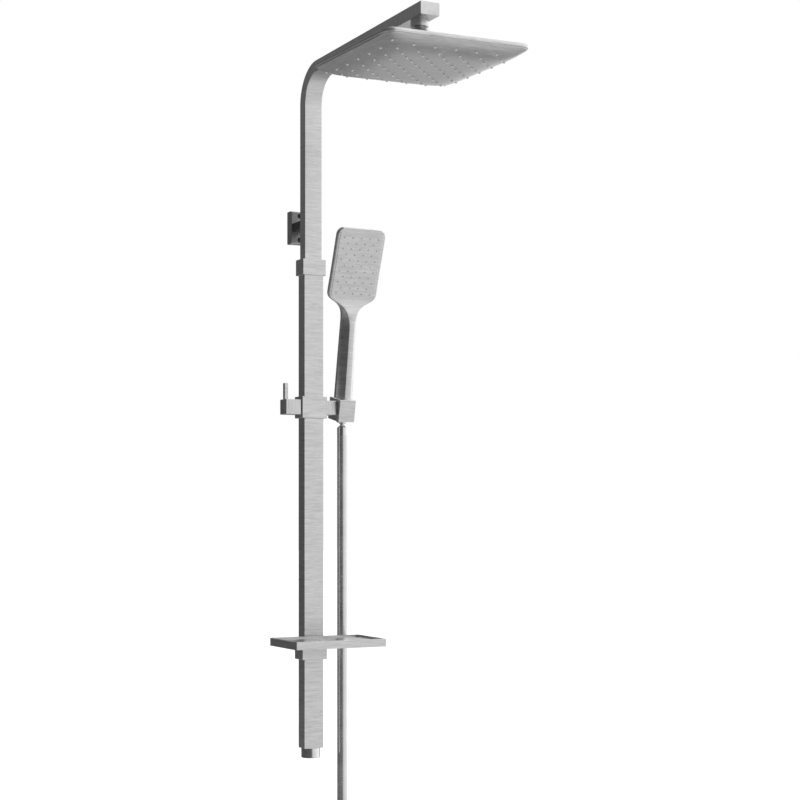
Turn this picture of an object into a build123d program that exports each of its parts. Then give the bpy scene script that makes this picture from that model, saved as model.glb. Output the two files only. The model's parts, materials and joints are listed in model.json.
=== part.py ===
from build123d import *
import os
from math import cos, pi, radians, sin

# Rainfall shower column. Millimetres. The origin is the centre of the wall plate's back face.
# +Z is up, -Y points into the room and +X is to the right of somebody who faces the wall.

# ---- driving dimensions ----
COLUMN_Y = -50.0            # axis of the upright tubes, in front of the wall
TUBE_WALL = 1.5
SLIDE_GAP = 0.2             # between sliding flat faces
BALL_GAP = 0.3              # between a ball and its cup
RUNNING_FIT = 0.08          # between a round shaft and its hole

RISER_W, RISER_D = 27.2, 16.6
RISER_R, RAIL_R = 1.0, 1.0  # outer corners of the two tubes
ARM_Z = 215.5               # centre line of the arm
BEND_R = 45.0               # bend of the centre line
ARM_END_Y = -404.0
END_CAP_T = 2.0
RISER_FOOT_Z = -230.0       # lower end, hidden in the rail

RAIL_W, RAIL_D = 30.6, 20.0
RAIL_TOP_Z, RAIL_FOOT_Z = -64.0, -754.0
COLLAR_W, COLLAR_D = 37.0, 25.0
COLLAR_TOP_Z, COLLAR_FOOT_Z = -52.0, -74.5

PLATE_W, PLATE_H, PLATE_T = 30.0, 47.0, 13.5
WALL_SCREW_Z = 17.5         # above and below the plate's centre
WALL_SCREW_R, WALL_SCREW_NECK_R = 2.0, 2.3
STEM_W, STEM_H = 25.0, 11.5

HEAD_SIDE, HEAD_R = 206.0, 16.0
HEAD_Y = -376.5
RIM_FOOT_Z, RIM_TOP_Z = 157.5, 166.0
FACE_DROP = 10.5            # how far the pillow-shaped spray face bulges below the rim
PILLOW_POWER = 4.5          # how square the pillow is
HEAD_PITCH, HEAD_ROWS, NOZZLE_OUT = 29.4, 7, 1.6
HEAD_SET = (0.85, -1.4, 1.0)   # degrees about X, Y and Z that the head is set to on its ball
BALL_Z, BALL_R = 186.0, 9.0
NUT_R, NUT_TOP_R, NUT_TOP_Z = 16.4, 12.3, 195.8
BOSS_R, BOSS_FOOT_Z = 11.5, 198.2
STUD_R = 6.0
SPOUT_R, SPOUT_TOP_Z = 11.0, 174.8

SLIDER_W, SLIDER_D, SLIDER_H = 39.5, 26.5, 31.0
SLIDER_Z = -264.5           # centre
KNOB_X0, KNOB_X1, KNOB_S = -20.6, -43.8, 21.6
LEVER_S, LEVER_TOP_Z, LEVER_X = 5.9, -230.5, -40.0
SPINDLE_R, TILT_R = 3.0, 2.5
PAD_R, PAD_X = 5.0, -17.5   # the brake pad and its outer end
STUB_X1 = 36.0
HOLDER_X0, HOLDER_X1 = 37.0, 63.0
HOLDER_LEAN = 8.5           # degrees, top towards the room
HOLDER_FRONT, HOLDER_BACK = -17.5, 18.0
HOLDER_TOP, HOLDER_FOOT = 14.6, -17.0
BLOCK_LEAN = 3.5            # degrees that the block leans beyond its socket

SOCKET_X = (HOLDER_X0 + HOLDER_X1) / 2
SOCKET_Y = -3.0             # in the holder's leaning frame
CONE_TOP_R, CONE_FOOT_R = 11.0, 8.2
CONE_TOP, CONE_FOOT = 15.0, -20.0
JOINT_DROP = -17.0          # hose ball, below the holder's pivot
HOSE_BALL_R = 6.5

THREAD_R = 8.3              # the handset's tail in the hose nut
HANDLE_W, HANDLE_FRONT, HANDLE_BACK = 23.0, -15.5, 5.0
SHOULDER_Z, NECK_Z = 15.5, 138.0
BEVEL_X, BEVEL_DEEP = 4.0, 11.0
HEAD_LEAN = 12.2            # spray plate against the handle, degrees
FACE_W, FACE_LENGTH, FACE_T = 75.0, 112.0, 11.0
FACE_MARGIN = 12.5          # from the top row of nozzles to the top edge
FACE_PLATE_T = 1.6
NOZZLE_ROWS, NOZZLE_PITCH, NOZZLE_ROW = 11, 13.45, 8.04
FIRST_ROW = 244.8           # height of the top row in the leaning frame
FIRST_ROW_Y = -27.5

HOSE_R = 7.5
FERRULE_FOOT = 22.0         # from the ball's centre to the hose's first millimetre
HOSE_LENGTH = 1500.0
END_RISE = 25.0             # the hose ends this much above the lower folds' springing
HANK_TOP_Z = -905.0         # where the upper folds spring
FOLD_R = 45.0
HANK_STEP = 20.5            # from the front runs to the rear run

DISH_X0, DISH_X1, DISH_Y0, DISH_Y1 = -71.5, 69.0, -155.0, -65.5
DISH_TOP_Z, DISH_H = -592.5, 11.0
DISH_RIM, DISH_RECESS, DISH_SKIN = 3.0, 3.0, 5.0
SLEEVE_TOP_Z, SLEEVE_FOOT_Z = -596.0, -626.5
TONGUE_T = 4.0
DRAIN_COUNT, DRAIN_PITCH, DRAIN_Y = 4, 27.0, -108.0
DRAIN_LENGTH, DRAIN_W = 8.0, 4.0
DISH_SCREW_Z = -612.0


# ---- small helpers ----
def block(x0, x1, y0, y1, z0, z1):
    """A box between two corners."""
    return Pos((x0 + x1) / 2, (y0 + y1) / 2, (z0 + z1) / 2) * Box(x1 - x0, y1 - y0, z1 - z0)


def upright(w, d, r, z0, z1, x=0.0, y=COLUMN_Y):
    """A rounded rectangle's prism along Z."""
    return Pos(x, y, z0) * extrude(RectangleRounded(w, d, r), z1 - z0)


def post(r, z0, z1, x=0.0, y=0.0):
    """A cylinder along Z."""
    return Pos(x, y, (z0 + z1) / 2) * Cylinder(r, z1 - z0)


def bar_x(r, x0, x1, y, z):
    """A cylinder along X."""
    return Pos((x0 + x1) / 2, y, z) * Rot(0, 90, 0) * Cylinder(r, abs(x1 - x0))


def bar_y(r, y0, y1, x, z):
    """A cylinder along Y."""
    return Pos(x, (y0 + y1) / 2, z) * Rot(90, 0, 0) * Cylinder(r, abs(y1 - y0))


def lean(shape):
    """Places a shape made in the holder's upright frame, whose origin is the tilt pivot."""
    return Pos(0, COLUMN_Y, SLIDER_Z) * Rot(HOLDER_LEAN, 0, 0) * shape


def leaned(y, z):
    """World Y and Z of a point in the holder's frame."""
    a = radians(HOLDER_LEAN)
    return COLUMN_Y + y * cos(a) - z * sin(a), SLIDER_Z + y * sin(a) + z * cos(a)


# ---- wall bracket ----
def wall_plate():
    plate = block(-PLATE_W / 2, PLATE_W / 2, -PLATE_T, 0, -PLATE_H / 2, PLATE_H / 2)
    plate = chamfer(plate.faces().sort_by(Axis.Y)[0].edges(), 1.2)
    spigot = block(-8, 8, -PLATE_T - 7, -PLATE_T, -3.2, 3.2)
    plate += spigot
    for z in (-WALL_SCREW_Z, WALL_SCREW_Z):
        plate -= bar_y(WALL_SCREW_NECK_R, -PLATE_T - 1, 1, 0, z)
    return plate


def wall_screws():
    screws = []
    for z in (-WALL_SCREW_Z, WALL_SCREW_Z):
        head = bar_y(3.6, -PLATE_T - 2.2, -PLATE_T, 0, z)
        head = fillet(head.faces().sort_by(Axis.Y)[0].edges(), 1.0)
        cross = block(-2, 2, -PLATE_T - 3, -PLATE_T - 1.2, z - 0.4, z + 0.4)
        cross += block(-0.4, 0.4, -PLATE_T - 3, -PLATE_T - 1.2, z - 2, z + 2)
        shank = bar_y(WALL_SCREW_NECK_R, -PLATE_T, 0, 0, z) + bar_y(WALL_SCREW_R, 0, 26, 0, z)
        tip = Pos(0, 28, z) * Rot(-90, 0, 0) * Cone(WALL_SCREW_R, 0.4, 4)
        screws.append(head - cross + shank + tip)
    return Compound(children=screws)


def bracket_stem():
    back = COLUMN_Y + RISER_D / 2
    stem = block(-STEM_W / 2, STEM_W / 2, back, -PLATE_T, -STEM_H / 2, STEM_H / 2)
    stem = fillet(stem.edges().filter_by(Axis.Y), 1.0)
    stem -= block(-8, 8, -PLATE_T - 7, -PLATE_T + 1, -3.2, 3.2)
    stem -= bar_y(2.6, back - 1, -PLATE_T - 6, 0, 0)
    stem -= bar_y(4.6, -32, -PLATE_T - 6, 0, 0)
    stem -= post(1.5, -STEM_H / 2 - 1, -3.0, 4.5, -PLATE_T - 3.5)
    return stem


def stem_bolt():
    bolt = bar_y(2.5, COLUMN_Y + 3.0, -32, 0, 0) + bar_y(4.3, -32, -28, 0, 0)
    return bolt - Pos(0, -29, 0) * Rot(90, 0, 0) * extrude(RegularPolygon(2.3, 6), 1.5, both=True)


def riser_insert():
    """A threaded bush in the riser's rear wall."""
    inner = COLUMN_Y + RISER_D / 2 - TUBE_WALL
    bush = bar_y(3.6, inner - 6, inner + TUBE_WALL, 0, 0) + bar_y(4.6, inner - 6, inner, 0, 0)
    return bush - bar_y(2.5, inner - 7, inner + 3, 0, 0)


def bracket_grub_screw():
    return post(1.5, -STEM_H / 2 + 0.3, -3.2, 4.5, -PLATE_T - 3.5)


# ---- riser tube and arm ----
def tube_path(w, d, r, foot, end_y):
    """The upright, the quarter bend and the arm as one prism of a w by d section."""
    spring = ARM_Z - BEND_R
    up = upright(w, d, r, foot, spring)
    corner_axis = Axis((0, COLUMN_Y - BEND_R, spring), (1, 0, 0))
    corner = revolve(Pos(0, COLUMN_Y, spring) * RectangleRounded(w, d, r), corner_axis, 90)
    arm_face = Pos(0, COLUMN_Y - BEND_R, ARM_Z) * Rot(90, 0, 0) * RectangleRounded(w, d, r)
    arm = extrude(arm_face, COLUMN_Y - BEND_R - end_y)
    return up + corner + arm


def riser_tube():
    end = ARM_END_Y + END_CAP_T
    tube = tube_path(RISER_W, RISER_D, RISER_R, RISER_FOOT_Z, end)
    tube -= tube_path(RISER_W - 2 * TUBE_WALL, RISER_D - 2 * TUBE_WALL, 0.6, RISER_FOOT_Z - 1, end - 1)
    tube -= bar_y(3.6, COLUMN_Y + 2, COLUMN_Y + RISER_D, 0, 0)
    tube -= post(8.0, ARM_Z - RISER_D, ARM_Z, 0, HEAD_Y)
    return tube


def arm_end_cap():
    cap = Pos(0, ARM_END_Y + END_CAP_T, ARM_Z) * Rot(90, 0, 0) * extrude(
        RectangleRounded(RISER_W, RISER_D, RISER_R), END_CAP_T)
    cap = chamfer(cap.faces().sort_by(Axis.Y)[0].edges(), 0.4)
    w, d = RISER_W - 2 * TUBE_WALL, RISER_D - 2 * TUBE_WALL
    plug = Pos(0, ARM_END_Y + END_CAP_T + 7, ARM_Z) * Rot(90, 0, 0) * extrude(
        RectangleRounded(w, d, 0.6), 7)
    return cap + plug


def arm_seal():
    """A flat gasket behind the end cap's plug."""
    w, d = RISER_W - 2 * TUBE_WALL, RISER_D - 2 * TUBE_WALL
    y = ARM_END_Y + END_CAP_T + 7
    ring = Pos(0, y + 2, ARM_Z) * Rot(90, 0, 0) * extrude(RectangleRounded(w, d, 0.6), 2)
    return ring - block(-8, 8, y - 1, y + 3, ARM_Z - 3.5, ARM_Z + 3.5)


def riser_guide():
    """The plastic shoe that keeps the riser central in the rail."""
    w, d = RAIL_W - 2 * TUBE_WALL - 2 * SLIDE_GAP, RAIL_D - 2 * TUBE_WALL - 2 * SLIDE_GAP
    shoe = upright(w, d, 0.8, RISER_FOOT_Z - 16, RISER_FOOT_Z)
    shoe += upright(RISER_W - 2 * TUBE_WALL, RISER_D - 2 * TUBE_WALL, 0.6, RISER_FOOT_Z, RISER_FOOT_Z + 10)
    shoe -= upright(18, 8, 1.0, RISER_FOOT_Z - 17, RISER_FOOT_Z + 11)
    for z in (RISER_FOOT_Z - 13, RISER_FOOT_Z - 6):
        groove = upright(w + 2, d + 2, 0.8, z, z + 2.4) - upright(w - 4, d - 4, 0.8, z, z + 2.4)
        shoe -= groove
    return shoe


def riser_seals():
    w, d = RAIL_W - 2 * TUBE_WALL - 2 * SLIDE_GAP, RAIL_D - 2 * TUBE_WALL - 2 * SLIDE_GAP
    rings = []
    for z in (RISER_FOOT_Z - 13, RISER_FOOT_Z - 6):
        ring = upright(w + 0.2, d + 0.2, 0.8, z, z + 2.4) - upright(w - 4, d - 4, 0.8, z, z + 2.4)
        rings.append(ring)
    return Compound(children=rings)


# ---- ball joint at the arm's end ----
def outlet_boss():
    underside = ARM_Z - RISER_D / 2
    boss = post(BOSS_R, BOSS_FOOT_Z, underside, 0, HEAD_Y)
    boss = chamfer(boss.faces().sort_by(Axis.Z)[0].edges(), 0.6)
    boss += post(8.0, underside, underside + 3.0, 0, HEAD_Y)
    return boss - post(STUD_R + RUNNING_FIT, BOSS_FOOT_Z - 1, underside + 4, 0, HEAD_Y)


def ball_stud():
    top = ARM_Z - RISER_D / 2 + 5.5
    stud = Pos(0, HEAD_Y, BALL_Z) * Sphere(BALL_R)
    stud += post(STUD_R, BALL_Z + 3, top, 0, HEAD_Y)
    stud += post(8.5, top - 2, top, 0, HEAD_Y)
    return stud - post(3.0, BALL_Z - BALL_R - 1, top + 1, 0, HEAD_Y)


def flow_restrictor():
    return post(3.0, BALL_Z + 11, BALL_Z + 15, 0, HEAD_Y) - post(1.6, BALL_Z + 10, BALL_Z + 16, 0, HEAD_Y)


def settled(shape):
    """Turns a piece of the head to its set position on the ball."""
    return Pos(0, HEAD_Y, BALL_Z) * Rot(*HEAD_SET) * Pos(0, -HEAD_Y, -BALL_Z) * shape


def swivel_nut():
    """A coned nut round the ball, which screws onto the head's neck."""
    waist = NUT_TOP_Z - 6
    nut = post(NUT_R, BALL_Z - 12, waist, 0, HEAD_Y)
    nut += Pos(0, HEAD_Y, waist + 3) * Cone(NUT_R, NUT_TOP_R, 6)
    nut -= post(SPOUT_R, BALL_Z - 13, BALL_Z - 1, 0, HEAD_Y)
    nut -= Pos(0, HEAD_Y, BALL_Z) * Sphere(BALL_R + BALL_GAP)
    nut -= post(8.2, BALL_Z, NUT_TOP_Z + 1, 0, HEAD_Y)
    return settled(nut)


def ball_seat():
    seat = post(SPOUT_R, BALL_Z - 10, BALL_Z - 2, 0, HEAD_Y) - post(4.5, BALL_Z - 11, BALL_Z, 0, HEAD_Y)
    return settled(seat - Pos(0, HEAD_Y, BALL_Z) * Sphere(BALL_R + BALL_GAP))


def inlet_filter():
    disc = post(SPOUT_R - 1, SPOUT_TOP_Z, BALL_Z - 10, 0, HEAD_Y)
    for i in range(8):
        hole = post(1.1, SPOUT_TOP_Z - 1, BALL_Z - 9, 3.2, 0)
        disc -= Pos(0, HEAD_Y, 0) * Rot(0, 0, 45 * i) * hole
    return settled(disc)


# ---- overhead spray head ----
def nozzle_places():
    """The square grid of nozzles and the smaller grid between them."""
    half = (HEAD_ROWS - 1) / 2
    main = [(i - half, j - half) for i in range(HEAD_ROWS) for j in range(HEAD_ROWS)]
    inner = [(i - half + 0.5, j - half + 0.5) for i in range(HEAD_ROWS - 1) for j in range(HEAD_ROWS - 1)]
    return [(HEAD_PITCH * a, HEAD_Y + HEAD_PITCH * b) for a, b in main + inner]


def pillow_drop(x, y):
    """How far the spray face bulges below the rim at a distance from its centre."""
    across = 1 - abs(2 * x / HEAD_SIDE) ** PILLOW_POWER
    along = 1 - abs(2 * y / HEAD_SIDE) ** PILLOW_POWER
    return FACE_DROP * across * along


def head_slab(side, r, z0, z1, taper=0.0):
    return Pos(0, HEAD_Y, z0) * extrude(RectangleRounded(side, side, r), z1 - z0, taper=taper)


def screw_places():
    a, b = HEAD_SIDE / 2 - 8, HEAD_PITCH * 2.5
    return [(x, HEAD_Y + y) for x in (-a, a) for y in (-b, b)]


def head_top_shell():
    """The thin cover with its rim, a low roof and the neck that takes the swivel nut."""
    roof_z = RIM_TOP_Z + 4
    shell = head_slab(HEAD_SIDE, HEAD_R, RIM_FOOT_Z, RIM_TOP_Z)
    shell += head_slab(HEAD_SIDE - 1, HEAD_R, RIM_TOP_Z, roof_z, taper=75)
    shell += Pos(0, HEAD_Y, roof_z) * Cone(40, 17, SPOUT_TOP_Z - roof_z - 1)
    shell += post(SPOUT_R, roof_z, SPOUT_TOP_Z, 0, HEAD_Y)
    shell -= head_slab(HEAD_SIDE - 5, HEAD_R - 2.5, RIM_FOOT_Z - 1, RIM_TOP_Z - 2.2)
    shell -= head_slab(HEAD_SIDE - 8, HEAD_R - 4, RIM_TOP_Z - 2.2, roof_z - 2.4, taper=70)
    shell -= Pos(0, HEAD_Y, 167.0) * Cone(34, 12, 5)
    shell -= post(5.0, 160, SPOUT_TOP_Z + 1, 0, HEAD_Y)
    for x, y in screw_places():
        shell += post(3.6, RIM_TOP_Z - 4.4, RIM_TOP_Z - 2, x, y)
        shell -= post(1.5, RIM_FOOT_Z, RIM_TOP_Z + 1, x, y)
    return settled(shell)


def head_face():
    """The spray face, a tray whose underside bulges in three steps."""
    side, r = HEAD_SIDE - 5.2, HEAD_R - 2.6
    face = head_slab(side, r, RIM_FOOT_Z, RIM_FOOT_Z + 2.0)
    under = Pos(0, HEAD_Y, RIM_FOOT_Z) * Rot(180, 0, 0)
    face += under * extrude(RectangleRounded(side, side, r), 5.0, taper=62)
    face += under * Pos(0, 0, 5.0) * extrude(RectangleRounded(side - 19, side - 19, r - 4), 3.5, taper=76)
    face += under * Pos(0, 0, 8.5) * extrude(RectangleRounded(side - 48, side - 48, r - 6), 1.9, taper=80)
    face -= head_slab(side - 44, 8, RIM_FOOT_Z - 2.5, RIM_FOOT_Z + 3)
    for x, y in nozzle_places():
        face -= post(1.8, RIM_FOOT_Z - FACE_DROP - 1, RIM_FOOT_Z + 3, x, y)
    for x, y in screw_places():
        face += post(3.6, RIM_FOOT_Z + 2.0, RIM_TOP_Z - 4.4, x, y)
        face -= post(1.5, RIM_FOOT_Z + 0.5, RIM_TOP_Z, x, y)
    return settled(face)


def head_nozzle_mat():
    """One rubber sheet with every nozzle moulded on it."""
    side = HEAD_PITCH * (HEAD_ROWS - 1) + 5.6
    mat = head_slab(side, 4, RIM_FOOT_Z + 2.0, RIM_FOOT_Z + 3.2)
    for x, y in nozzle_places():
        tip_z = RIM_FOOT_Z - pillow_drop(x, y - HEAD_Y) - NOZZLE_OUT
        mat += post(1.8, tip_z, RIM_FOOT_Z + 2.0, x, y)
        mat -= post(0.6, tip_z - 1, RIM_FOOT_Z + 4, x, y)
    return settled(mat)


def head_screws():
    screws = []
    for x, y in screw_places():
        screws.append(settled(post(1.5, RIM_FOOT_Z + 0.5, RIM_TOP_Z + 1, x, y)))
    return Compound(children=screws)


# ---- rail, collar and water inlet ----
def rail_tube():
    tube = upright(RAIL_W, RAIL_D, RAIL_R, RAIL_FOOT_Z, RAIL_TOP_Z)
    return tube - upright(RAIL_W - 2 * TUBE_WALL, RAIL_D - 2 * TUBE_WALL, 0.6, RAIL_FOOT_Z - 1, RAIL_TOP_Z + 1)


def rail_collar():
    collar = upright(COLLAR_W, COLLAR_D, 1.2, COLLAR_FOOT_Z, COLLAR_TOP_Z)
    collar = chamfer(collar.faces().sort_by(Axis.Z)[-1].edges(), 0.5)
    collar -= upright(RAIL_W, RAIL_D, RAIL_R, COLLAR_FOOT_Z - 1, RAIL_TOP_Z)
    w, d = RISER_W + 2 * SLIDE_GAP + 1, RISER_D + 2 * SLIDE_GAP + 1
    collar -= upright(w, d, RISER_R + SLIDE_GAP + 0.5, RAIL_TOP_Z - 1, COLLAR_TOP_Z + 1)
    return collar - bar_y(2.0, COLUMN_Y + RISER_D / 2, COLUMN_Y + COLLAR_D, 0, -58)


def collar_wiper():
    """The thin lip seal between the collar and the riser."""
    w, d = RISER_W + 2 * SLIDE_GAP, RISER_D + 2 * SLIDE_GAP
    r = RISER_R + SLIDE_GAP
    ring = upright(w + 1, d + 1, r + 0.5, COLLAR_TOP_Z - 3.5, COLLAR_TOP_Z - 0.4)
    return ring - upright(w, d, r, COLLAR_TOP_Z - 4, COLLAR_TOP_Z + 1)


def collar_grub_screw():
    y0 = COLUMN_Y + RISER_D / 2 + SLIDE_GAP
    screw = bar_y(2.0, y0, y0 + 4.0, 0, -58)
    return screw - Pos(0, y0 + 4.0, -58) * Rot(90, 0, 0) * extrude(RegularPolygon(1.1, 6), 1.6, both=True)


def rail_end_plug():
    w, d = RAIL_W - 2 * TUBE_WALL, RAIL_D - 2 * TUBE_WALL
    plug = upright(w, d, 0.6, RAIL_FOOT_Z, RAIL_FOOT_Z + 18)
    return plug - post(7.5, RAIL_FOOT_Z - 1, RAIL_FOOT_Z + 19, 0, COLUMN_Y)


def inlet_bush():
    """The round inlet below the rail, tapped for a half inch hose."""
    foot = RAIL_FOOT_Z - 14
    bush = post(14.0, foot, RAIL_FOOT_Z, 0, COLUMN_Y)
    bush = chamfer(bush.faces().sort_by(Axis.Z)[0].edges(), 0.5)
    bush += post(7.5, RAIL_FOOT_Z, RAIL_FOOT_Z + 18, 0, COLUMN_Y)
    bush -= post(9.3, foot - 1, foot + 12, 0, COLUMN_Y)
    bush -= post(5.5, foot, RAIL_FOOT_Z + 19, 0, COLUMN_Y)
    ring = post(8.0, RAIL_FOOT_Z + 9, RAIL_FOOT_Z + 11.5, 0, COLUMN_Y)
    return bush - (ring - post(6.3, RAIL_FOOT_Z + 8, RAIL_FOOT_Z + 12, 0, COLUMN_Y))


def inlet_o_ring():
    ring = post(7.5, RAIL_FOOT_Z + 9, RAIL_FOOT_Z + 11.5, 0, COLUMN_Y)
    return ring - post(6.3, RAIL_FOOT_Z + 8, RAIL_FOOT_Z + 12, 0, COLUMN_Y)


# ---- sleeves that run on the rail ----
def sleeve(z0, z1):
    """A rectangular sleeve with room for a plastic liner."""
    body = upright(SLIDER_W, SLIDER_D, 1.0, z0, z1)
    body = chamfer(body.faces().sort_by(Axis.Z)[-1].edges(), 0.4)
    body = chamfer(body.faces().sort_by(Axis.Z)[0].edges(), 0.4)
    return body - upright(RAIL_W + 2, RAIL_D + 2, 2.2, z0 - 1, z1 + 1)


def liner(z0, z1):
    ring = upright(RAIL_W + 2, RAIL_D + 2, 2.2, z0, z1)
    return ring - upright(RAIL_W + 2 * SLIDE_GAP, RAIL_D + 2 * SLIDE_GAP, RAIL_R + SLIDE_GAP, z0 - 1, z1 + 1)


def slider_body():
    half = SLIDER_H / 2
    body = sleeve(SLIDER_Z - half, SLIDER_Z + half)
    body += bar_x(7.0, KNOB_X0 - 9, -SLIDER_W / 2, COLUMN_Y, SLIDER_Z)
    body -= bar_x(SPINDLE_R + RUNNING_FIT, KNOB_X0 - 10, -15, COLUMN_Y, SLIDER_Z)
    body -= bar_x(PAD_R + 0.2, PAD_X - 0.1, -RAIL_W / 2, COLUMN_Y, SLIDER_Z)
    return body - bar_x(2.6, 14, SLIDER_W / 2 + 1, COLUMN_Y, SLIDER_Z)


def slider_liner():
    half = SLIDER_H / 2
    ring = liner(SLIDER_Z - half + 1, SLIDER_Z + half - 1)
    ring -= bar_x(PAD_R + 0.2, PAD_X - 0.1, -14, COLUMN_Y, SLIDER_Z)
    return ring - bar_x(4.8, 14, 17, COLUMN_Y, SLIDER_Z)


def brake_pad():
    return bar_x(PAD_R, PAD_X + 0.1, -RAIL_W / 2 - SLIDE_GAP, COLUMN_Y, SLIDER_Z)


def knob():
    half = KNOB_S / 2
    body = block(KNOB_X1, KNOB_X0, COLUMN_Y - half, COLUMN_Y + half, SLIDER_Z - half, SLIDER_Z + half)
    body = fillet(body.edges().filter_by(Axis.X), 0.8)
    body = chamfer(body.faces().sort_by(Axis.X)[0].edges(), 0.5)
    body -= bar_x(7.3, KNOB_X0 - 9.5, KNOB_X0 + 1, COLUMN_Y, SLIDER_Z)
    body -= bar_x(SPINDLE_R, KNOB_X0 - 16, KNOB_X0, COLUMN_Y, SLIDER_Z)
    s = LEVER_S / 2
    return body - block(LEVER_X - s, LEVER_X + s, COLUMN_Y - s, COLUMN_Y + s, SLIDER_Z + 4.5, SLIDER_Z + 12)


def knob_spindle():
    return bar_x(SPINDLE_R, KNOB_X0 - 16, PAD_X, COLUMN_Y, SLIDER_Z)


def knob_lever():
    s = LEVER_S / 2
    pin = block(LEVER_X - s, LEVER_X + s, COLUMN_Y - s, COLUMN_Y + s, SLIDER_Z + 4.5, LEVER_TOP_Z)
    pin = fillet(pin.edges().filter_by(Axis.Z), 0.9)
    return chamfer(pin.faces().sort_by(Axis.Z)[-1].edges(), 0.4)


def holder_stub():
    half = 10.2
    stub = block(SLIDER_W / 2, STUB_X1, COLUMN_Y - 10, COLUMN_Y + 10, SLIDER_Z - half, SLIDER_Z + half)
    stub = fillet(stub.edges().filter_by(Axis.X), 0.8)
    stub -= bar_x(2.5, SLIDER_W / 2 - 1, SLIDER_W / 2 + 6, COLUMN_Y, SLIDER_Z)
    return stub - bar_x(TILT_R + RUNNING_FIT, SLIDER_W / 2 + 6, STUB_X1 + 1, COLUMN_Y, SLIDER_Z)


def stub_screw():
    """A flat headed screw from inside the sleeve."""
    head = bar_x(4.6, 15.3, 16.0, COLUMN_Y, SLIDER_Z)
    return head + bar_x(2.5, 15.5, SLIDER_W / 2 + 6, COLUMN_Y, SLIDER_Z)


# ---- tilting holder ----
def cone_radius(z, extra=0.0):
    """Radius of the hose nut's cone at a height in the holder's frame."""
    return CONE_FOOT_R + (z - CONE_FOOT) * (CONE_TOP_R - CONE_FOOT_R) / (CONE_TOP - CONE_FOOT) + extra


def cone(z0, z1, extra=0.0):
    body = Cone(cone_radius(z0, extra), cone_radius(z1, extra), z1 - z0)
    return Pos(SOCKET_X, SOCKET_Y, (z0 + z1) / 2) * body


def holder_block():
    body = block(HOLDER_X0, HOLDER_X1, HOLDER_FRONT, HOLDER_BACK, HOLDER_FOOT, HOLDER_TOP)
    body = fillet(body.edges().filter_by(Axis.Z), 1.0)
    body = chamfer(body.faces().sort_by(Axis.Z)[-1].edges(), 0.4)
    body = Rot(BLOCK_LEAN, 0, 0) * body
    body -= cone(HOLDER_FOOT - 2, HOLDER_TOP + 2, 0.3)
    body -= bar_x(TILT_R, HOLDER_X0 - 1, HOLDER_X0 + 5, 0, 0)
    body -= Pos(HOLDER_X0 + 1.9, 0, 0) * Rot(0, 90, 0) * Cone(2.5, 4.6, 2.2)
    body -= bar_x(4.6, HOLDER_X0 + 3.0, HOLDER_X0 + 6, 0, 0)
    return lean(body)


def tilt_screw():
    """The countersunk screw that the holder turns on."""
    screw = bar_x(TILT_R, SLIDER_W / 2 + 7, HOLDER_X0 + 1.0, 0, 0)
    screw += Pos(HOLDER_X0 + 1.9, 0, 0) * Rot(0, 90, 0) * Cone(TILT_R, 4.5, 2.1)
    return lean(screw - cone(HOLDER_FOOT, HOLDER_TOP, 0.3))


def tilt_washer():
    ring = bar_x(7.5, STUB_X1 + 0.1, HOLDER_X0, 0, 0) - bar_x(TILT_R, STUB_X1, HOLDER_X0 + 1, 0, 0)
    return lean(ring)


# ---- hand shower ----
def face_point(down):
    """Y and Z on the spray face, a distance below the top row of nozzles."""
    a = radians(HEAD_LEAN)
    return FIRST_ROW_Y + down * sin(a), FIRST_ROW - down * cos(a)


def face_plane():
    """The spray face: X across, Y up along it, Z out of it, from the middle of the top row."""
    a = radians(HEAD_LEAN)
    y, z = face_point(0)
    return Plane(origin=(SOCKET_X, y, z), x_dir=(1, 0, 0), z_dir=(0, -cos(a), -sin(a)))


def rounded_corners(face, rounds):
    """Fillets the corners of a flat face that lie at the given X, Y and Z, each with its radius."""
    for place, radius in rounds:
        corners = [v for v in face.vertices() if (v.center() - Vector(*place)).length < 0.01]
        face = fillet(corners, radius)
    return face


def side_profile():
    """The hand shower seen from its side, as a prism across its whole width."""
    a = radians(HEAD_LEAN)
    thick = (FACE_T * cos(a), FACE_T * sin(a))
    top = face_point(-FACE_MARGIN)
    foot = face_point(FACE_LENGTH - FACE_MARGIN - 11)
    low = face_point(FACE_LENGTH - FACE_MARGIN - 4)
    neck_front, neck_back = (HANDLE_FRONT, NECK_Z - 5), (HANDLE_BACK, NECK_Z)
    back_top = (top[0] + thick[0], top[1] + thick[1])
    back_low = (low[0] + thick[0], low[1] + thick[1])
    points = [(HANDLE_FRONT, SHOULDER_Z), neck_front, foot, top, back_top, back_low, neck_back,
              (HANDLE_BACK, SHOULDER_Z)]
    face = make_face(Polyline(*[(0, y, z) for y, z in points], close=True))
    rounds = [(neck_front, 20), (foot, 25), (back_top, 6), (back_low, 40), (neck_back, 40), (top, 1.5)]
    face = rounded_corners(face, [((0, y, z), r) for (y, z), r in rounds])
    return Pos(SOCKET_X - 50, 0, 0) * extrude(face, 100, dir=(1, 0, 0))


def front_outline():
    """The hand shower seen from the front, as a prism through its whole depth."""
    w, n, top = FACE_W / 2, HANDLE_W / 2, face_point(-FACE_MARGIN)[1] + 2.4
    corners = [((n, NECK_Z - 3), 14), ((n + 9, NECK_Z + 12), 8), ((w, NECK_Z + 18), 9), ((w, top), 10)]
    points = [(n, 0)] + [p for p, _ in corners]
    points += [(-x, z) for x, z in reversed(points)]
    face = make_face(Polyline(*[(x, 0, z) for x, z in points], close=True))
    rounds = [((side * x, 0, z), r) for (x, z), r in corners for side in (1, -1)]
    face = rounded_corners(face, rounds)
    return Pos(SOCKET_X, 100, 0) * extrude(face, 200, dir=(0, -1, 0))


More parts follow.
